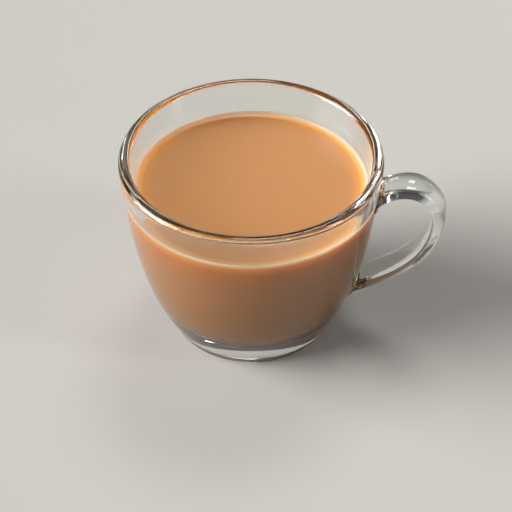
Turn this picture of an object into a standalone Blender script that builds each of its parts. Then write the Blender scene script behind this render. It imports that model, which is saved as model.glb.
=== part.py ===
"""A round clear glass cup with a strap handle, filled with milk tea.

The cup is one pressed piece of glass: a bowl with a thick base, a round lip and a handle
that leaves the wall just under the lip and runs back into it low down. The tea is a solid of
its own, up to the level at which it stands. The origin is on the cup's axis at the underside
of the foot, +Z is up and the handle points along +X. Sizes are in metres.
"""

from math import acos, cos, exp, pi, sin

import bmesh
import bpy
from mathutils import Vector
from mathutils.geometry import interpolate_bezier

# Cup, outside
CUP_HEIGHT = 0.0720
LIP_RADIUS = 0.0438
FOOT_RADIUS = 0.0310
FOOT_ROUND = 0.0009
FOOT_FLARE = 0.42
FOOT_CURVE_LENGTH = 0.0200
LIP_FLARE = 0.045
WALL_CURVE_LENGTH = 0.0402

# Cup, inside: the lip is a half round as wide as the wall is thick
WALL = 0.0039
LIP_ROUND = WALL / 2
BASE_THICKNESS = 0.0090
FLOOR_ROUND = 0.0200

# Handle: a strap with round edges, swept along a centre line in the XZ plane. Each point of
# the line is a distance from the cup's axis and a height, with its two curve handles.
HANDLE_WIDTH = 0.0110
HANDLE_THICKNESS = 0.0046
HANDLE_CORNER = 0.0017
HANDLE_ROOT = ((0.0391, 0.0566), (0.0, 0.0), (0.0042, 0.0054))
HANDLE_TOP = ((0.0533, 0.0659), (-0.0049, 0.0), (0.0068, 0.0))
HANDLE_OUTER = ((0.0636, 0.0551), (0.0, 0.0032), (0.0, -0.0197))
HANDLE_FOOT = ((0.0346, 0.0173), (0.0128, 0.0088), (0.0, 0.0))
ROOT_FLARE = 0.30
ROOT_FLARE_LENGTH = 0.0045
ROOT_SUNK = 0.0060
FOOT_SUNK = 0.0050

# Milk tea: its surface, and the edge that creeps up the glass
TEA_LEVEL = 0.0589
MENISCUS_RISE = 0.0011
MENISCUS_REACH = 0.0015
MENISCUS_STEPS = (4.0, 2.0, 1.0, 0.4)
TEA_GAP = 0.0003

# Fineness of the faceted shapes
TURN_STEPS = 64
SIDE_STEPS = 10
ROUND_STEPS = 6
FLOOR_ROUND_STEPS = 5
CORNER_STEPS = 2
HANDLE_STEPS = 9
SOLVE_STEPS = 40
WELD = 0.00001

# Colours, linear
GLASS_COLOUR = (0.93, 0.96, 0.95, 1.0)
TEA_COLOUR = (0.591, 0.279, 0.122, 1.0)


def clear_scene():
    """Remove every object that the file opened with."""
    for item in list(bpy.data.objects):
        bpy.data.objects.remove(item, do_unlink=True)


def new_collection(name):
    """Add a collection to the scene."""
    collection = bpy.data.collections.new(name)
    bpy.context.scene.collection.children.link(collection)
    return collection


def new_material(name, colour, roughness, ior, transmission=0.0, subsurface=0.0):
    """Make a Principled material."""
    material = bpy.data.materials.new(name)
    material.use_nodes = True
    shader = material.node_tree.nodes["Principled BSDF"]
    shader.inputs["Base Color"].default_value = colour
    shader.inputs["Metallic"].default_value = 0.0
    shader.inputs["Roughness"].default_value = roughness
    shader.inputs["IOR"].default_value = ior
    shader.inputs["Transmission Weight"].default_value = transmission
    shader.inputs["Subsurface Weight"].default_value = subsurface
    return material


def wall_point(t):
    """Give the outside of the wall at t, from 0 at the foot to 1 at the lip.

    The wall is one cubic curve: it leaves the foot with the foot's flare and reaches the lip
    with the lip's, nearly upright. Returns the radius, the height, and the unit normal that
    points into the cup.
    """
    lip_height = CUP_HEIGHT - LIP_ROUND
    controls = (
        (FOOT_RADIUS, 0.0),
        (FOOT_RADIUS + FOOT_FLARE * FOOT_CURVE_LENGTH, FOOT_CURVE_LENGTH),
        (LIP_RADIUS - LIP_FLARE * WALL_CURVE_LENGTH, lip_height - WALL_CURVE_LENGTH),
        (LIP_RADIUS, lip_height),
    )
    weights = ((1 - t) ** 3, 3 * t * (1 - t) ** 2, 3 * t * t * (1 - t), t**3)
    slopes = (-((1 - t) ** 2), (1 - t) * (1 - 3 * t), t * (2 - 3 * t), t * t)
    radius, height = (sum(w * c[i] for w, c in zip(weights, controls)) for i in (0, 1))
    across, up = (sum(s * c[i] for s, c in zip(slopes, controls)) for i in (0, 1))
    length = (across * across + up * up) ** 0.5
    return radius, height, (-up / length, across / length)


def inside_point(t, depth):
    """Give the point at a depth below the outside of the wall."""
    radius, height, normal = wall_point(t)
    return radius + normal[0] * depth, height + normal[1] * depth


def solve(function, low, high):
    """Find where a rising function crosses zero between low and high."""
    for _ in range(SOLVE_STEPS):
        middle = (low + high) / 2
        if function(middle) < 0:
            low = middle
        else:
            high = middle
    return (low + high) / 2


def inner_outline(depth, top):
    """Give the hollow's outline at a depth into the wall, from the floor's centre up to top.

    The floor is flat, and one arc joins it to the side. A depth other than the wall's keeps
    the same distance from the floor and from the side.
    """
    floor = BASE_THICKNESS - WALL + depth
    floor_round = FLOOR_ROUND + WALL - depth
    start = solve(
        lambda t: inside_point(t, depth + floor_round)[1] - floor - floor_round, 0.0, 1.0
    )
    centre = inside_point(start, depth + floor_round)
    end = solve(lambda t: inside_point(t, depth)[1] - top, start, 1.0)
    turn = acos(wall_point(start)[2][1])
    outline = [(0.0, floor)]
    for step in range(FLOOR_ROUND_STEPS + 1):
        angle = turn * step / FLOOR_ROUND_STEPS
        outline.append(
            (centre[0] + floor_round * sin(angle), centre[1] - floor_round * cos(angle))
        )
    for step in range(1, SIDE_STEPS + 1):
        outline.append(inside_point(start + (end - start) * step / SIDE_STEPS, depth))
    return outline


def outer_outline():
    """Give the outside from the end of the lip down to the centre of the underside."""
    foot_start = solve(lambda t: wall_point(t)[1] - FOOT_ROUND, 0.0, 1.0)
    outline = []
    for step in range(SIDE_STEPS):
        t = 1.0 + (foot_start - 1.0) * step / SIDE_STEPS
        outline.append(wall_point(t)[:2])
    radius = wall_point(foot_start)[0]
    for step in range(CORNER_STEPS + 1):
        angle = pi / 2 * step / CORNER_STEPS
        outline.append(
            (radius - FOOT_ROUND * (1 - cos(angle)), FOOT_ROUND * (1 - sin(angle)))
        )
    outline.append((0.0, 0.0))
    return outline


def lip_outline():
    """Give the half round over the lip, from its inner end to just before its outer end."""
    centre = LIP_RADIUS - LIP_ROUND
    height = CUP_HEIGHT - LIP_ROUND
    outline = []
    for step in range(1, ROUND_STEPS):
        angle = pi * (1 - step / ROUND_STEPS)
        outline.append((centre + LIP_ROUND * cos(angle), height + LIP_ROUND * sin(angle)))
    return outline


def tea_outline():
    """Give the tea from the centre of its surface, over its edge, down to its underside."""
    side = inner_outline(WALL + TEA_GAP, TEA_LEVEL + MENISCUS_RISE)
    edge = side[-1][0]
    outline = [(0.0, TEA_LEVEL)]
    for reach in MENISCUS_STEPS:
        outline.append(
            (edge - reach * MENISCUS_REACH, TEA_LEVEL + MENISCUS_RISE * exp(-reach))
        )
    return outline + side[::-1]


def turned(name, outline, collection, material=None):
    """Turn an outline round the Z axis into a closed solid."""
    mesh = bpy.data.meshes.new(name)
    shape = bmesh.new()
    points = [shape.verts.new((radius, 0.0, height)) for radius, height in outline]
    for first, second in zip(points, points[1:]):
        shape.edges.new((first, second))
    shape.to_mesh(mesh)
    shape.free()
    item = bpy.data.objects.new(name, mesh)
    collection.objects.link(item)
    screw = item.modifiers.new("Turn", "SCREW")
    screw.axis = "Z"
    screw.angle = 2 * pi
    screw.steps = TURN_STEPS
    screw.render_steps = TURN_STEPS
    screw.use_merge_vertices = True
    screw.merge_threshold = WELD
    screw.use_smooth_shade = True
    if material:
        mesh.materials.append(material)
    return item


def mark_as_cutter(item):
    """Show an object as a guide that isn't part of the model."""
    item.hide_render = True
    item.display_type = "WIRE"


def strap_section():
    """Make the handle's cross-section, a rectangle with round corners."""
    curve = bpy.data.curves.new("handle_section", "CURVE")
    curve.dimensions = "2D"
    across = HANDLE_WIDTH / 2 - HANDLE_CORNER
    deep = HANDLE_THICKNESS / 2 - HANDLE_CORNER
    centres = ((across, deep), (-across, deep), (-across, -deep), (across, -deep))
    points = []
    for corner, (x, y) in enumerate(centres):
        for step in range(CORNER_STEPS + 1):
            angle = pi / 2 * (corner + step / CORNER_STEPS)
            points.append((x + HANDLE_CORNER * cos(angle), y + HANDLE_CORNER * sin(angle)))
    spline = curve.splines.new("POLY")
    spline.points.add(len(points) - 1)
    for point, (x, y) in zip(spline.points, points):
        point.co = (x, y, 0.0, 1.0)
    spline.use_cyclic_u = True
    return bpy.data.objects.new("handle_section", curve)


def handle_line():
    """Give the points of the handle's centre line and the strap's scale at each.

    The strap swells towards both ends, where it runs into the wall.
    """
    knots = (HANDLE_ROOT, HANDLE_TOP, HANDLE_OUTER, HANDLE_FOOT)
    points = []
    for start, end in zip(knots, knots[1:]):
        first, last = (Vector((knot[0][0], 0.0, knot[0][1])) for knot in (start, end))
        leave = first + Vector((start[2][0], 0.0, start[2][1]))
        arrive = last + Vector((end[1][0], 0.0, end[1][1]))
        stretch = interpolate_bezier(first, leave, arrive, last, HANDLE_STEPS)
        points.extend(stretch if not points else stretch[1:])
    along = [0.0]
    for first, second in zip(points, points[1:]):
        along.append(along[-1] + (second - first).length)
    scales = []
    for distance in along:
        from_root = max(distance - ROOT_SUNK, 0.0) / ROOT_FLARE_LENGTH
        from_foot = max(along[-1] - distance - FOOT_SUNK, 0.0) / ROOT_FLARE_LENGTH
        scales.append(1.0 + ROOT_FLARE * (exp(-from_root) + exp(-from_foot)))
    return points, scales


def strap_handle(collection):
    """Sweep the strap along its centre line and give it as a mesh."""
    section = strap_section()
    collection.objects.link(section)
    curve = bpy.data.curves.new("handle_path", "CURVE")
    curve.dimensions = "3D"
    curve.bevel_mode = "OBJECT"
    curve.bevel_object = section
    curve.use_fill_caps = True
    points, scales = handle_line()
    spline = curve.splines.new("POLY")
    spline.points.add(len(points) - 1)
    for point, place, scale in zip(spline.points, points, scales):
        point.co = (*place, 1.0)
        point.radius = scale
    path = bpy.data.objects.new("handle_path", curve)
    collection.objects.link(path)
    bpy.context.view_layer.update()
    evaluated = path.evaluated_get(bpy.context.evaluated_depsgraph_get())
    mesh = bpy.data.meshes.new_from_object(evaluated)
    shape = bmesh.new()
    shape.from_mesh(mesh)
    bmesh.ops.remove_doubles(shape, verts=shape.verts, dist=WELD)
    bmesh.ops.recalc_face_normals(shape, faces=shape.faces)
    shape.to_mesh(mesh)
    shape.free()
    handle = bpy.data.objects.new("handle", mesh)
    handle.matrix_world = path.matrix_world
    collection.objects.link(handle)
    bpy.data.objects.remove(path, do_unlink=True)
    bpy.data.objects.remove(section, do_unlink=True)
    mark_as_cutter(handle)
    return handle


def add_boolean(item, operation, other):
    """Cut an object with another, or join them."""
    boolean = item.modifiers.new(operation.title(), "BOOLEAN")
    boolean.operation = operation
    boolean.solver = "EXACT"
    boolean.object = other


def build_cup(parts, cutters, material):
    """Make the glass: the turned bowl and the strap handle fused to its wall."""
    lip_height = CUP_HEIGHT - LIP_ROUND
    outline = inner_outline(WALL, lip_height) + lip_outline() + outer_outline()
    cup = turned("glass_cup", outline, parts, material)
    # The strap's ends stop half-way into the wall, so the inside of the bowl stays smooth.
    core_outline = inner_outline(WALL / 2, lip_height) + [(0.0, lip_height)]
    wall_core = turned("wall_core", core_outline[::-1], cutters)
    mark_as_cutter(wall_core)
    handle = strap_handle(cutters)
    add_boolean(handle, "DIFFERENCE", wall_core)
    add_boolean(cup, "UNION", handle)
    return cup


def main():
    """Build the cup and the tea in it."""
    clear_scene()
    parts = new_collection("cup_of_milk_tea")
    cutters = new_collection("cutters")
    glass = new_material("clear_glass", GLASS_COLOUR, 0.02, 1.5, transmission=1.0)
    tea = new_material("milk_tea", TEA_COLOUR, 0.12, 1.34, subsurface=0.3)
    build_cup(parts, cutters, glass)
    turned("milk_tea", tea_outline(), parts, tea)


main()
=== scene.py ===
"""Looks of a clear glass cup of milk tea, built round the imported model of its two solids.

The cup is drawn as one smooth pressed glass, bowl, lip, foot and handle together, and the tea
as a body of liquid that wets it. Sizes are in metres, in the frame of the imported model: the
origin is on the cup's axis at the underside of the foot, and the handle points along +X.
"""

import logging
from dataclasses import dataclass, field
from enum import Enum
from math import acos, copysign, cos, exp, pi, radians, sin, sqrt
from typing import Any, Callable

import bmesh
import bpy
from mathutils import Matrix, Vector
from mathutils.geometry import interpolate_bezier


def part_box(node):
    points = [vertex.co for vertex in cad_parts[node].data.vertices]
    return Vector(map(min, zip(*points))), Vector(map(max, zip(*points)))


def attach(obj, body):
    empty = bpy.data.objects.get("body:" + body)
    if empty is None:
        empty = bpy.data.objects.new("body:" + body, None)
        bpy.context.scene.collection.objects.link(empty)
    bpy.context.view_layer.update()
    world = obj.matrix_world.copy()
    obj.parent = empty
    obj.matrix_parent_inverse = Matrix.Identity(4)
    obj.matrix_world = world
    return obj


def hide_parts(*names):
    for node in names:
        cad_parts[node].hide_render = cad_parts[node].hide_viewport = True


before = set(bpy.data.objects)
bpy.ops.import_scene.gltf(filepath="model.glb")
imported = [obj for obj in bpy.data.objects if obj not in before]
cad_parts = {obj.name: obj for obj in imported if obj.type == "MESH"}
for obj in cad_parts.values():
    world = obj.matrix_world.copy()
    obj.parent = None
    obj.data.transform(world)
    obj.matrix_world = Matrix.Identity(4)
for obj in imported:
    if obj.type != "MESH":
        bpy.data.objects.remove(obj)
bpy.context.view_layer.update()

MM = 0.001
WELD = 0.001 * MM
SOLVE_STEPS = 40
QUAD = 4

log = logging.getLogger("cup_of_tea")


class Node(Enum):
    """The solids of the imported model."""

    GLASS = "glass_cup"
    TEA = "milk_tea"


class TeaFace(Enum):
    """The two sorts of tea face, by material slot."""

    OPEN = 0
    WETTED = 1


def srgb(code: str) -> tuple[float, float, float, float]:
    """Turn a hex colour into linear values, by the curve of the sRGB standard.

    Args:
        code: Six hex digits, as in "c88e5e".

    Returns:
        Red, green, blue and an alpha of 1.
    """
    parts = [int(code[i : i + 2], 16) / 255 for i in (0, 2, 4)]
    red, green, blue = (
        p / 12.92 if p <= 0.04045 else ((p + 0.055) / 1.055) ** 2.4 for p in parts
    )
    return red, green, blue, 1.0


def solve(function: Callable[[float], float], low: float, high: float) -> float:
    """Find where a rising function crosses zero.

    Args:
        function: The rising function.
        low: Where it is below zero.
        high: Where it is above zero.

    Returns:
        The crossing.
    """
    for _ in range(SOLVE_STEPS):
        middle = (low + high) / 2
        if function(middle) < 0:
            low = middle
        else:
            high = middle
    return (low + high) / 2


def smooth_step(value: float) -> float:
    """Ease from 0 to 1."""
    value = min(max(value, 0.0), 1.0)
    return value * value * (3 - 2 * value)


def add_node(
    tree: bpy.types.NodeTree,
    kind: str,
    settings: dict[str, Any] | None = None,
    links: dict[Any, bpy.types.NodeSocket] | None = None,
) -> bpy.types.Node:
    """Add a node to a tree.

    Args:
        tree: The node tree.
        kind: The node's type name.
        settings: Values by name, for a property of the node or for one of its inputs.
        links: Sockets to link in, by the input's name or number.

    Returns:
        The new node.
    """
    node = tree.nodes.new(kind)
    for name, value in (settings or {}).items():
        if isinstance(name, str) and hasattr(node, name):
            setattr(node, name, value)
        else:
            node.inputs[name].default_value = value
    for name, socket in (links or {}).items():
        tree.links.new(socket, node.inputs[name])
    return node


def new_tree(name: str) -> tuple[bpy.types.Material, bpy.types.NodeTree]:
    """Make an empty node material.

    Args:
        name: The material's name.

    Returns:
        The material and its node tree.
    """
    material = bpy.data.materials.new(name)
    material.use_nodes = True
    material.node_tree.nodes.clear()
    return material, material.node_tree


def finish_piece(
    name: str, shape: bmesh.types.BMesh, materials: list[bpy.types.Material]
) -> bpy.types.Object:
    """Turn a bmesh into a smooth shaded object at the origin.

    Args:
        name: The object's name.
        shape: The bmesh, which is freed.
        materials: The object's material slots.

    Returns:
        The object.
    """
    mesh = bpy.data.meshes.new(name)
    shape.to_mesh(mesh)
    shape.free()
    mesh.shade_smooth()
    for material in materials:
        mesh.materials.append(material)
    piece = bpy.data.objects.new(name, mesh)
    bpy.context.scene.collection.objects.link(piece)
    return piece


def revolve(outline: list[tuple[float, float]], steps: int) -> bmesh.types.BMesh:
    """Spin an outline once round the Z axis into a closed shape.

    Args:
        outline: Radius and height of each point, from the axis to the axis.
        steps: How many sides the turn has.

    Returns:
        The shape, its seam and poles closed and its faces outwards.
    """
    shape = bmesh.new()
    points = [shape.verts.new((radius, 0.0, height)) for radius, height in outline]
    edges = [shape.edges.new(pair) for pair in zip(points, points[1:])]
    bmesh.ops.spin(
        shape,
        geom=points + edges,
        cent=(0.0, 0.0, 0.0),
        axis=(0.0, 0.0, 1.0),
        angle=2 * pi,
        steps=steps,
        use_merge=True,
    )
    bmesh.ops.remove_doubles(shape, verts=shape.verts, dist=WELD)
    bmesh.ops.recalc_face_normals(shape, faces=shape.faces)
    return shape


@dataclass(frozen=True)
class BowlForm:
    """The bowl's side, which the glass, the tea and the handle's roots all follow.

    The outside is one cubic curve, which leaves the foot with a flare and reaches the lip
    nearly upright. A flare is how far the curve leans out for each unit that it rises, and a
    curve length is how far each end's pull reaches. The inside keeps the wall's thickness
    down to a round corner and a flat floor.
    """

    lip_radius: float
    height: float
    wall: float = 3.9 * MM
    foot_radius: float = 31.0 * MM
    foot_flare: float = 0.42
    foot_curve_length: float = 20.0 * MM
    lip_flare: float = 0.045
    wall_curve_length: float = 40.2 * MM
    base_thickness: float = 9.0 * MM
    floor_round: float = 20.0 * MM

    @property
    def lip_round(self) -> float:
        """The radius of the half round over the lip."""
        return self.wall / 2

    @property
    def lip_height(self) -> float:
        """The height at which the lip's half round starts."""
        return self.height - self.lip_round

    def outside(self, t: float) -> tuple[float, float, tuple[float, float]]:
        """Give a point of the outside.

        Args:
            t: From 0 at the foot to 1 at the lip.

        Returns:
            The radius, the height, and the unit normal that points into the cup.
        """
        controls = (
            (self.foot_radius, 0.0),
            (
                self.foot_radius + self.foot_flare * self.foot_curve_length,
                self.foot_curve_length,
            ),
            (
                self.lip_radius - self.lip_flare * self.wall_curve_length,
                self.lip_height - self.wall_curve_length,
            ),
            (self.lip_radius, self.lip_height),
        )
        # The slopes are a third of the true ones, because only their direction counts.
        weights = ((1 - t) ** 3, 3 * t * (1 - t) ** 2, 3 * t * t * (1 - t), t**3)
        slopes = (-((1 - t) ** 2), (1 - t) * (1 - 3 * t), t * (2 - 3 * t), t * t)
        radius, height = (
            sum(w * c[i] for w, c in zip(weights, controls)) for i in (0, 1)
        )
        across, up = (sum(s * c[i] for s, c in zip(slopes, controls)) for i in (0, 1))
        length = sqrt(across * across + up * up)
        return radius, height, (-up / length, across / length)

    def inside(self, t: float, depth: float) -> tuple[float, float]:
        """Give the point at a depth below the outside at t."""
        radius, height, normal = self.outside(t)
        return radius + normal[0] * depth, height + normal[1] * depth

    def depth_of(self, place: Vector) -> float:
        """Say how far a place is inside the wall's outer face.

        Args:
            place: The place.

        Returns:
            The depth, negative outside the wall.
        """
        height = min(max(place.z, 0.0), self.lip_height)
        t = solve(lambda t: self.outside(t)[1] - height, 0.0, 1.0)
        radius, _, normal = self.outside(t)
        return (radius - Vector((place.x, place.y)).length) * -normal[0]

    def hollow(
        self, depth: float, top: float, side_steps: int, round_steps: int
    ) -> list[tuple[float, float]]:
        """Give the hollow's outline at a depth into the wall.

        Args:
            depth: The depth, which is the wall's thickness for the real inside.
            top: The height at which the outline ends.
            side_steps: Steps up the side.
            round_steps: Steps round the corner of the floor.

        Returns:
            The points from the floor's centre to the top.
        """
        floor = self.base_thickness - self.wall + depth
        bend = self.floor_round + self.wall - depth
        start = solve(
            lambda t: self.inside(t, depth + bend)[1] - floor - bend, 0.0, 1.0
        )
        centre = self.inside(start, depth + bend)
        end = solve(lambda t: self.inside(t, depth)[1] - top, start, 1.0)
        turn = acos(self.outside(start)[2][1])
        flat = centre[0]
        outline = [(flat * i / round_steps, floor) for i in range(round_steps)]
        for step in range(round_steps + 1):
            angle = turn * step / round_steps
            outline.append(
                (centre[0] + bend * sin(angle), centre[1] - bend * cos(angle))
            )
        for step in range(1, side_steps + 1):
            outline.append(self.inside(start + (end - start) * step / side_steps, depth))
        return outline


@dataclass(frozen=True)
class PressedGlass:
    """Soda-lime glass, pressed in a mould and fire-polished.

    Iron in the sand leaves it a trace of green. The flame smooths its skin, and only a faint
    long wave from the mould stays.
    """

    tint: str = "f6faf8"
    ior: float = 1.52
    roughness: float = 0.0
    wave_length: float = 14.0 * MM
    wave_height: float = 0.012 * MM
    wave_detail: float = 0.0

    def make(self) -> bpy.types.Material:
        """Make the material.

        Returns:
            The material.
        """
        # To the eye it is clear and bright, with sharp highlights that swell and thin out.
        material, tree = new_tree("soda_lime_glass_fire_polished")
        place = add_node(tree, "ShaderNodeTexCoord")
        wave = add_node(
            tree,
            "ShaderNodeTexNoise",
            {"Scale": 1 / self.wave_length, "Detail": self.wave_detail},
            {"Vector": place.outputs["Object"]},
        )
        bump = add_node(
            tree,
            "ShaderNodeBump",
            {"Strength": 1.0, "Distance": self.wave_height},
            {"Height": wave.outputs["Fac"]},
        )
        shader = add_node(
            tree,
            "ShaderNodeBsdfPrincipled",
            {
                "Base Color": srgb(self.tint),
                "Roughness": self.roughness,
                "IOR": self.ior,
                "Transmission Weight": 1.0,
            },
            {"Normal": bump.outputs["Normal"]},
        )
        add_node(
            tree, "ShaderNodeOutputMaterial", links={"Surface": shader.outputs["BSDF"]}
        )
        return material


@dataclass(frozen=True)
class BrewedMilkTea:
    """Black tea with milk: opaque, tan and still.

    The milk scatters light a few millimetres deep. Against the glass its colour holds painted
    light: a painted highlight and painted glow of light through the thin tea make the edge a
    cream line, then golden, then tan on the surface and amber down the side, and painted shade
    darkens the side towards the bottom. Each stop of a ramp is a distance in millimetres from
    the line where tea and glass meet, and the colour there. The ramps' colours have most of the
    say, and slow clouds of milk the rest.
    """

    top: float
    edge_radius: float
    body: str = "ca9566"
    cloud: str = "c48e5e"
    painted_ramp_share: float = 0.85
    # Painted highlight and glow on the open surface: a cream line at the glass, then a golden band
    # of painted light, fading to plain tan.
    open_painted_light: tuple[tuple[float, str], ...] = (
        (0.0, "fcd8c0"),
        (0.9, "f4c8a4"),
        (1.6, "f4b66a"),
        (3.4, "da9859"),
        (6.5, "c89262"),
    )
    # Painted light and shade down the wetted side: a cream line and golden and amber glow under
    # the edge, then painted shade that darkens it towards the bottom.
    wetted_painted_light_and_shade: tuple[tuple[float, str], ...] = (
        (0.0, "fcd6bc"),
        (1.1, "f6c8a0"),
        (2.0, "ea9a44"),
        (5.0, "ca8040"),
        (14.0, "b87f4a"),
        (50.0, "93673c"),
    )
    cloud_size: float = 18.0 * MM
    cloud_detail: float = 2.0
    cloud_swirl: float = 1.2
    open_scatter: float = 3.0 * MM
    wetted_scatter: float = 7.0 * MM
    scatter_reach: tuple[float, float, float] = (1.0, 0.6, 0.35)
    open_roughness: float = 0.06
    wetted_roughness: float = 0.5
    open_gloss: float = 0.5
    wetted_gloss: float = 0.0
    ior: float = 1.34
    glass_ior: float = PressedGlass.ior

    def paint_edge_light_and_shade(
        self, tree: bpy.types.NodeTree, distance: bpy.types.NodeSocket, face: TeaFace
    ) -> bpy.types.NodeSocket:
        """Paint light and shade on the tea by its distance from the line where it meets the glass.

        Args:
            tree: The node tree.
            distance: The distance in metres.
            face: Which sort of face it is for.

        Returns:
            The colour.
        """
        stops = self.open_painted_light if face is TeaFace.OPEN else self.wetted_painted_light_and_shade
        reach = stops[-1][0]
        share = add_node(
            tree, "ShaderNodeMapRange", {"From Max": reach * MM}, {"Value": distance}
        )
        ramp = add_node(
            tree, "ShaderNodeValToRGB", links={"Fac": share.outputs["Result"]}
        )
        ramp.color_ramp.interpolation = "EASE"
        points = ramp.color_ramp.elements
        points[0].color = srgb(stops[0][1])
        points[1].color = srgb(stops[-1][1])
        for place, colour in stops[1:-1]:
            points.new(place / reach).color = srgb(colour)
        return ramp.outputs["Color"]

    def make(self, face: TeaFace) -> bpy.types.Material:
        """Make the tea's material.

        Args:
            face: The open surface, which is glossy, or the side that wets the glass. There
                the two bend light nearly alike, so nothing shines but at a glancing angle,
                where the glass mirrors all of it.

        Returns:
            The material.
        """
        is_open = face is TeaFace.OPEN
        # To the eye it is soft and milky: glossy on top, and matt where it lies on the glass.
        material, tree = new_tree("milk_tea_" + face.name.lower())
        place = add_node(tree, "ShaderNodeTexCoord").outputs["Object"]
        parts = add_node(tree, "ShaderNodeSeparateXYZ", links={"Vector": place})
        if is_open:
            flat = add_node(
                tree,
                "ShaderNodeCombineXYZ",
                links={"X": parts.outputs["X"], "Y": parts.outputs["Y"]},
            )
            along = add_node(
                tree,
                "ShaderNodeVectorMath",
                {"operation": "LENGTH"},
                {0: flat.outputs["Vector"]},
            ).outputs["Value"]
            full = self.edge_radius
        else:
            along = parts.outputs["Z"]
            full = self.top
        distance = add_node(
            tree, "ShaderNodeMath", {"operation": "SUBTRACT", 0: full}, {1: along}
        ).outputs["Value"]
        # This ramp paints light near the glass (highlight and glow) and shade low on the wetted
        # side.
        edge = self.paint_edge_light_and_shade(tree, distance, face)
        cloud = add_node(
            tree,
            "ShaderNodeTexNoise",
            {
                "Scale": 1 / self.cloud_size,
                "Detail": self.cloud_detail,
                "Distortion": self.cloud_swirl,
            },
            {"Vector": place},
        )
        milk = add_node(
            tree,
            "ShaderNodeMix",
            {"data_type": "RGBA", 6: srgb(self.cloud), 7: srgb(self.body)},
            {0: cloud.outputs["Fac"]},
        )
        colour = add_node(
            tree,
            "ShaderNodeMix",
            {"data_type": "RGBA", 0: self.painted_ramp_share},
            {6: milk.outputs[2], 7: edge},
        )
        shader = add_node(
            tree,
            "ShaderNodeBsdfPrincipled",
            {
                "Roughness": self.open_roughness if is_open else self.wetted_roughness,
                "IOR": self.ior,
                "Specular IOR Level": self.open_gloss if is_open else self.wetted_gloss,
                "Subsurface Weight": 1.0,
                "Subsurface Radius": self.scatter_reach,
                "Subsurface Scale": self.open_scatter if is_open else self.wetted_scatter,
            },
            {"Base Color": colour.outputs[2]},
        )
        surface = shader.outputs["BSDF"]
        if not is_open:
            glancing = add_node(
                tree, "ShaderNodeFresnel", {"IOR": self.ior / self.glass_ior}
            )
            mirror = add_node(
                tree, "ShaderNodeBsdfAnisotropic", {"Roughness": PressedGlass.roughness}
            )
            surface = add_node(
                tree,
                "ShaderNodeMixShader",
                links={0: glancing.outputs["Fac"], 1: surface, 2: mirror.outputs["BSDF"]},
            ).outputs["Shader"]
        add_node(tree, "ShaderNodeOutputMaterial", links={"Surface": surface})
        return material


@dataclass(frozen=True)
class PaleBoard:
    """A pale painted board, with the fine tooth that a roller leaves."""

    colour: str = "bab7b2"
    roughness: float = 0.8
    gloss: float = 0.0
    tooth_size: float = 0.8 * MM
    tooth_depth: float = 0.02 * MM
    tooth_detail: float = 2.0
    tooth_strength: float = 0.3

    def make(self) -> bpy.types.Material:
        """Make the material.

        Returns:
            The material.
        """
        # To the eye it is dead matt: it takes soft shadows and mirrors no lamp.
        material, tree = new_tree("painted_board")
        place = add_node(tree, "ShaderNodeTexCoord")
        grain = add_node(
            tree,
            "ShaderNodeTexNoise",
            {"Scale": 1 / self.tooth_size, "Detail": self.tooth_detail},
            {"Vector": place.outputs["Object"]},
        )
        bump = add_node(
            tree,
            "ShaderNodeBump",
            {"Strength": self.tooth_strength, "Distance": self.tooth_depth},
            {"Height": grain.outputs["Fac"]},
        )
        shader = add_node(
            tree,
            "ShaderNodeBsdfPrincipled",
            {
                "Base Color": srgb(self.colour),
                "Roughness": self.roughness,
                "Specular IOR Level": self.gloss,
            },
            {"Normal": bump.outputs["Normal"]},
        )
        add_node(
            tree, "ShaderNodeOutputMaterial", links={"Surface": shader.outputs["BSDF"]}
        )
        return material


@dataclass(frozen=True)
class Knot:
    """A knot of the strap's centre line, out from the axis and up, in millimetres.

    The line comes in from one pull and goes out to the other, each a step from the knot.
    """

    place: tuple[float, float]
    pull_in: tuple[float, float] = (0.0, 0.0)
    pull_out: tuple[float, float] = (0.0, 0.0)


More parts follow.
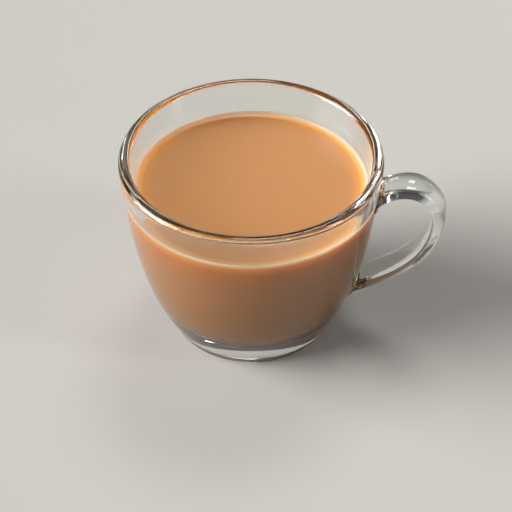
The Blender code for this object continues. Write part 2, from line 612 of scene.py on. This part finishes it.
@dataclass
class StrapHandle:
    """The strap handle: a flat bar with round edges that swells where it meets the wall."""

    form: BowlForm
    width: float = 11.0 * MM
    thickness: float = 4.6 * MM
    squareness: float = 3.6
    root_round: float = 1.6 * MM
    sides: int = 48
    stretch_steps: int = 44
    knots: tuple[Knot, ...] = (
        Knot((39.1, 56.6), pull_out=(4.2, 5.4)),
        Knot((53.3, 65.9), pull_in=(-4.9, 0.0), pull_out=(6.8, 0.0)),
        Knot((63.6, 55.1), pull_in=(0.0, 3.2), pull_out=(0.0, -19.7)),
        Knot((34.6, 17.3), pull_in=(12.8, 8.8)),
    )

    @staticmethod
    def in_plane(out_and_up: tuple[float, float]) -> Vector:
        """Put a place or a step of the line, in millimetres, into the XZ plane."""
        return Vector((out_and_up[0], 0.0, out_and_up[1])) * MM

    def line(self) -> list[Vector]:
        """Work out the strap's centre line.

        Returns:
            Its points in the XZ plane, from the upper root to the lower one.
        """
        points: list[Vector] = []
        for start, end in zip(self.knots, self.knots[1:]):
            first, last = self.in_plane(start.place), self.in_plane(end.place)
            leave = first + self.in_plane(start.pull_out)
            arrive = last + self.in_plane(end.pull_in)
            stretch = interpolate_bezier(first, leave, arrive, last, self.stretch_steps)
            points.extend(stretch if not points else stretch[1:])
        return points

    def section_point(self, angle: float) -> tuple[float, float]:
        """Give a point of the strap's section, a rectangle with very round corners.

        Args:
            angle: The angle round the section.

        Returns:
            How far the point is across the strap and through its thickness.
        """
        power = 2 / self.squareness
        across = copysign(abs(cos(angle)) ** power, cos(angle)) * self.width / 2
        deep = copysign(abs(sin(angle)) ** power, sin(angle)) * self.thickness / 2
        return across, deep

    def swell(self, place: Vector) -> float:
        """Say how far the skin stands out at a place, as a round into the wall does.

        Args:
            place: The place on the plain strap.

        Returns:
            The distance, which is zero away from the wall.
        """
        gap = -self.form.depth_of(place)
        near = min(max(self.root_round - gap, 0.0), self.root_round)
        return self.root_round - sqrt(self.root_round**2 - near**2)

    def place_ring(
        self, ring: list[bmesh.types.BMVert], centre: Vector, along: Vector
    ) -> None:
        """Put one ring of the sweep in its place.

        Args:
            ring: The ring's vertices, in order.
            centre: Its centre.
            along: The direction of the strap there.
        """
        side = Vector((0.0, 1.0, 0.0))
        out = along.cross(side).normalized()
        sunk = self.form.wall / 2
        for number, vert in enumerate(ring):
            across, deep = self.section_point(2 * pi * number / self.sides)
            spoke = side * across + out * deep
            place = centre + spoke
            place += spoke.normalized() * self.swell(place)
            below = self.form.depth_of(place) - sunk
            if below > 0:
                place += Vector((place.x, place.y, 0.0)).normalized() * below
            vert.co = place

    def build(self) -> bmesh.types.BMesh:
        """Sweep the section along the line.

        Returns:
            The closed strap, its ends sunk half-way into the wall.
        """
        shape = bmesh.new()
        made = bmesh.ops.create_circle(
            shape, cap_ends=False, segments=self.sides, radius=self.thickness
        )
        ring = made["verts"]
        points = self.line()
        edges = list(shape.edges)
        self.place_ring(ring, points[0], points[1] - points[0])
        for number in range(1, len(points)):
            before = points[number - 1]
            after = points[min(number + 1, len(points) - 1)]
            swept = bmesh.ops.extrude_edge_only(shape, edges=edges)["geom"]
            fresh = {v for v in swept if isinstance(v, bmesh.types.BMVert)}
            edges = [
                e for e in swept if isinstance(e, bmesh.types.BMEdge) and fresh.issuperset(e.verts)
            ]
            ring = [
                next(e.other_vert(v) for e in v.link_edges if e.other_vert(v) in fresh)
                for v in ring
            ]
            self.place_ring(ring, points[number], after - before)
        bmesh.ops.holes_fill(shape, edges=shape.edges, sides=self.sides)
        bmesh.ops.recalc_face_normals(shape, faces=shape.faces)
        return shape


@dataclass
class GlassCup:
    """The whole glass: bowl, lip, foot and handle in one skin.

    The foot stands on a narrow ring, and inside it the underside is pushed up a little.
    """

    form: BowlForm
    finish: PressedGlass
    turn_steps: int = 192
    side_steps: int = 44
    round_steps: int = 14
    lip_steps: int = 16
    foot_round: float = 1.1 * MM
    rest_width: float = 2.2 * MM
    push_up: float = 1.3 * MM
    push_up_width: float = 4.0 * MM
    sliver: float = 0.02 * MM

    def lip(self) -> list[tuple[float, float]]:
        """Work out the half round over the lip.

        Returns:
            Its points from the inside to the outside, without the two ends.
        """
        centre = self.form.lip_radius - self.form.lip_round
        points = []
        for step in range(1, self.lip_steps):
            angle = pi * (1 - step / self.lip_steps)
            points.append(
                (
                    centre + self.form.lip_round * cos(angle),
                    self.form.lip_height + self.form.lip_round * sin(angle),
                )
            )
        return points

    def outside(self) -> list[tuple[float, float]]:
        """Work out the outside.

        Returns:
            Its points from the lip down to the end of the foot's round edge.
        """
        start = solve(lambda t: self.form.outside(t)[1] - self.foot_round, 0.0, 1.0)
        points = []
        for step in range(self.side_steps + 1):
            points.append(self.form.outside(1 + (start - 1) * step / self.side_steps)[:2])
        radius = points[-1][0]
        for step in range(1, self.round_steps + 1):
            angle = pi / 2 * step / self.round_steps
            points.append(
                (
                    radius - self.foot_round * (1 - cos(angle)),
                    self.foot_round * (1 - sin(angle)),
                )
            )
        return points

    def underside(self, edge: float) -> list[tuple[float, float]]:
        """Work out the underside: a ring to stand on, and a shallow hollow within it.

        Args:
            edge: The radius at which the foot's round edge ends.

        Returns:
            The points from the ring to the axis.
        """
        ring = edge - self.rest_width
        points = [(ring, 0.0)]
        for step in range(1, self.round_steps + 1):
            share = step / self.round_steps
            points.append(
                (ring - self.push_up_width * share, self.push_up * smooth_step(share))
            )
        inner = points[-1][0]
        for step in range(1, self.round_steps + 1):
            points.append((inner * (1 - step / self.round_steps), self.push_up))
        return points

    def bowl(self) -> bmesh.types.BMesh:
        """Spin the bowl.

        Returns:
            The closed bowl.
        """
        inside = self.form.hollow(
            self.form.wall, self.form.lip_height, self.side_steps, self.round_steps
        )
        outside = self.outside()
        outline = inside + self.lip() + outside + self.underside(outside[-1][0])
        return revolve(outline, self.turn_steps)

    def build(self) -> bpy.types.Object:
        """Fuse the handle to the bowl.

        Returns:
            The finished glass.
        """
        material = self.finish.make()
        bowl = finish_piece("bowl_blank", self.bowl(), [material])
        handle = finish_piece("handle_blank", StrapHandle(self.form).build(), [material])
        join = bowl.modifiers.new("Fuse", "BOOLEAN")
        join.operation = "UNION"
        join.solver = "EXACT"
        join.object = handle
        bpy.context.view_layer.update()
        evaluated = bowl.evaluated_get(bpy.context.evaluated_depsgraph_get())
        mesh = bpy.data.meshes.new_from_object(evaluated)
        shape = bmesh.new()
        shape.from_mesh(mesh)
        bpy.data.meshes.remove(mesh)
        bpy.data.objects.remove(bowl, do_unlink=True)
        bpy.data.objects.remove(handle, do_unlink=True)
        self.clean_seam(shape)
        return finish_piece("clear_glass_cup", shape, [material])

    def clean_seam(self, shape: bmesh.types.BMesh) -> None:
        """Clear many-sided faces and slivers from the line where handle and wall are fused.

        Args:
            shape: The fused glass.
        """
        many_sided = [face for face in shape.faces if len(face.verts) > QUAD]
        bmesh.ops.triangulate(shape, faces=many_sided)
        bmesh.ops.remove_doubles(shape, verts=shape.verts, dist=self.sliver)


@dataclass
class TeaInGlass:
    """The tea: a still surface whose edge creeps up the glass, and the body under it.

    Its skin lies a little way into the wall, so no air shows between tea and glass. The
    surface's rings crowd towards the edge, where it curves.
    """

    form: BowlForm
    level: float
    creep: float = 1.1 * MM
    creep_reach: float = 1.5 * MM
    into_wall: float = 0.25 * MM
    turn_steps: int = 192
    side_steps: int = 40
    round_steps: int = 12
    surface_steps: int = 40
    crowding: int = 3
    open_tilt: float = 0.05

    def build(self) -> bpy.types.Object:
        """Spin the tea.

        Returns:
            The finished tea.
        """
        side = self.form.hollow(
            self.form.wall - self.into_wall,
            self.level + self.creep,
            self.side_steps,
            self.round_steps,
        )
        edge = side[-1][0]
        surface = []
        for step in range(self.surface_steps):
            radius = edge * (1 - (1 - step / self.surface_steps) ** self.crowding)
            reach = (edge - radius) / self.creep_reach
            surface.append((radius, self.level + self.creep * exp(-reach)))
        shape = revolve(surface + side[::-1], self.turn_steps)
        for face in shape.faces:
            kind = TeaFace.OPEN if face.normal.z > self.open_tilt else TeaFace.WETTED
            face.material_index = kind.value
        finish = BrewedMilkTea(top=self.level + self.creep, edge_radius=edge)
        materials = [finish.make(face) for face in TeaFace]
        return finish_piece("tea_in_glass", shape, materials)


@dataclass(frozen=True)
class SoftBox:
    """A studio soft box near the cup, for highlights on the glass.

    Its azimuth is in degrees to the right of the front, its elevation in degrees, its
    distance and size in metres and its power in watts.
    """

    name: str
    azimuth: float
    elevation: float
    distance: float
    width: float
    height: float
    power: float

    def make(self) -> bpy.types.AreaLight:
        """Make the light.

        Returns:
            The light.
        """
        light = bpy.data.lights.new(self.name, "AREA")
        light.shape = "RECTANGLE"
        light.size = self.width
        light.size_y = self.height
        light.energy = self.power
        return light


@dataclass(frozen=True)
class FarLight:
    """A large soft light, so far away that it lights the whole floor alike.

    Its azimuth, elevation and spread are in degrees, and its strength in watts per square
    metre. Its distance only says where the lamp stands in the file.
    """

    name: str
    azimuth: float
    elevation: float
    spread: float
    strength: float
    distance: float = 1.0

    def make(self) -> bpy.types.SunLight:
        """Make the light.

        Returns:
            The light.
        """
        light = bpy.data.lights.new(self.name, "SUN")
        light.angle = radians(self.spread)
        light.energy = self.strength
        return light


@dataclass
class Studio:
    """The pale floor, the lamps, the air and the camera.

    Two far lights from the left shade the cup from left to right, and soft boxes draw the
    highlights. Around them stand pale walls under a dim ceiling: wall_top is the sine of the
    elevation at which one has given way to the other. The camera's place was fitted to the
    photograph: its angles are in degrees and its lens in millimetres.
    """

    floor_size: float = 30.0
    floor_squares: int = 8
    floor_gap: float = 0.05 * MM
    target: Vector = field(default_factory=lambda: Vector((-3.23, 23.70, 0.0)) * MM)
    camera_azimuth: float = 11.58
    camera_elevation: float = 44.51
    camera_distance: float = 361.9 * MM
    lens: float = 62.93
    nearest: float = 10.0 * MM
    farthest: float = 20.0
    wall_colour: str = "f3f1ee"
    wall_light: float = 0.50
    ceiling_light: float = 0.05
    wall_top: float = 0.34
    glass_bounces: int = 24
    gloss_bounces: int = 16
    lamps: tuple[FarLight | SoftBox, ...] = (
        FarLight("high_key", -76.0, 27.0, spread=46.0, strength=4.3),
        FarLight("low_key", -72.0, 10.0, spread=34.0, strength=3.7),
        SoftBox("top_box", 176.0, 62.0, 2.4, width=0.9, height=0.7, power=16.0),
        SoftBox("right_strip", 84.0, 30.0, 2.2, width=0.22, height=1.3, power=9.0),
        SoftBox("front_strip", -12.0, 64.0, 2.4, width=3.6, height=0.10, power=5.0),
    )

    @staticmethod
    def direction(azimuth: float, elevation: float) -> Vector:
        """Give the way from the cup to a lamp or a camera at two angles in degrees."""
        turn, rise = radians(azimuth), radians(elevation)
        return Vector((sin(turn) * cos(rise), -cos(turn) * cos(rise), sin(rise)))

    def lay_floor(self) -> None:
        """Lay the floor, a hair's breadth under the foot."""
        shape = bmesh.new()
        bmesh.ops.create_grid(
            shape,
            x_segments=self.floor_squares,
            y_segments=self.floor_squares,
            size=self.floor_size / 2,
        )
        bmesh.ops.translate(shape, verts=shape.verts, vec=(0.0, 0.0, -self.floor_gap))
        floor = finish_piece("studio_floor", shape, [PaleBoard().make()])

    def hang(self, lamp: FarLight | SoftBox) -> None:
        """Hang one lamp, facing the cup and out of the camera's sight.

        Args:
            lamp: The lamp.
        """
        piece = bpy.data.objects.new(lamp.name, lamp.make())
        way = self.direction(lamp.azimuth, lamp.elevation)
        piece.location = way * lamp.distance
        piece.rotation_euler = way.to_track_quat("Z", "Y").to_euler()
        piece.visible_camera = False
        bpy.context.scene.collection.objects.link(piece)

    def set_air(self) -> None:
        """Surround the studio with pale walls under a dim ceiling."""
        world = bpy.data.worlds.new("studio_air")
        world.use_nodes = True
        tree = world.node_tree
        place = add_node(tree, "ShaderNodeTexCoord")
        parts = add_node(
            tree, "ShaderNodeSeparateXYZ", links={"Vector": place.outputs["Generated"]}
        )
        light = add_node(
            tree,
            "ShaderNodeMapRange",
            {
                "interpolation_type": "SMOOTHSTEP",
                "From Max": self.wall_top,
                "To Min": self.wall_light,
                "To Max": self.ceiling_light,
            },
            {"Value": parts.outputs["Z"]},
        )
        back = tree.nodes["Background"]
        back.inputs["Color"].default_value = srgb(self.wall_colour)
        tree.links.new(light.outputs["Result"], back.inputs["Strength"])
        bpy.context.scene.world = world

    def set_camera(self) -> None:
        """Put the camera at the photograph's angle."""
        lens = bpy.data.cameras.new("photo_view")
        lens.lens = self.lens
        lens.clip_start = self.nearest
        lens.clip_end = self.farthest
        camera = bpy.data.objects.new("photo_view", lens)
        way = self.direction(self.camera_azimuth, self.camera_elevation)
        camera.location = self.target + way * self.camera_distance
        camera.rotation_euler = way.to_track_quat("Z", "Y").to_euler()
        bpy.context.scene.collection.objects.link(camera)
        bpy.context.scene.camera = camera

    def set_render(self) -> None:
        """Let light go round and round inside the lip and the strap, and keep colours plain."""
        cycles = bpy.context.scene.cycles
        cycles.max_bounces = self.glass_bounces
        cycles.transmission_bounces = self.glass_bounces
        cycles.glossy_bounces = self.gloss_bounces
        view = bpy.context.scene.view_settings
        view.view_transform = "Standard"
        view.look = "None"

    def build(self) -> None:
        """Set up the whole studio."""
        self.lay_floor()
        for lamp in self.lamps:
            self.hang(lamp)
        self.set_air()
        self.set_camera()
        self.set_render()


def main() -> None:
    """Dress the cup and the tea, and light them."""
    logging.basicConfig(level=logging.INFO, format="%(name)s: %(message)s")
    low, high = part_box(Node.GLASS.value)
    form = BowlForm(lip_radius=-low[0], height=high[2])
    glass = GlassCup(form, PressedGlass()).build()
    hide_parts(Node.GLASS.value)
    tea_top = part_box(Node.TEA.value)[1][2]
    tea = TeaInGlass(form, level=tea_top - TeaInGlass.creep).build()
    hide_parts(Node.TEA.value)
    for piece in (glass, tea):
        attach(piece, "root")
        log.info("%s: %d faces", piece.name, len(piece.data.polygons))
    Studio().build()


if __name__ == "__main__":
    main()
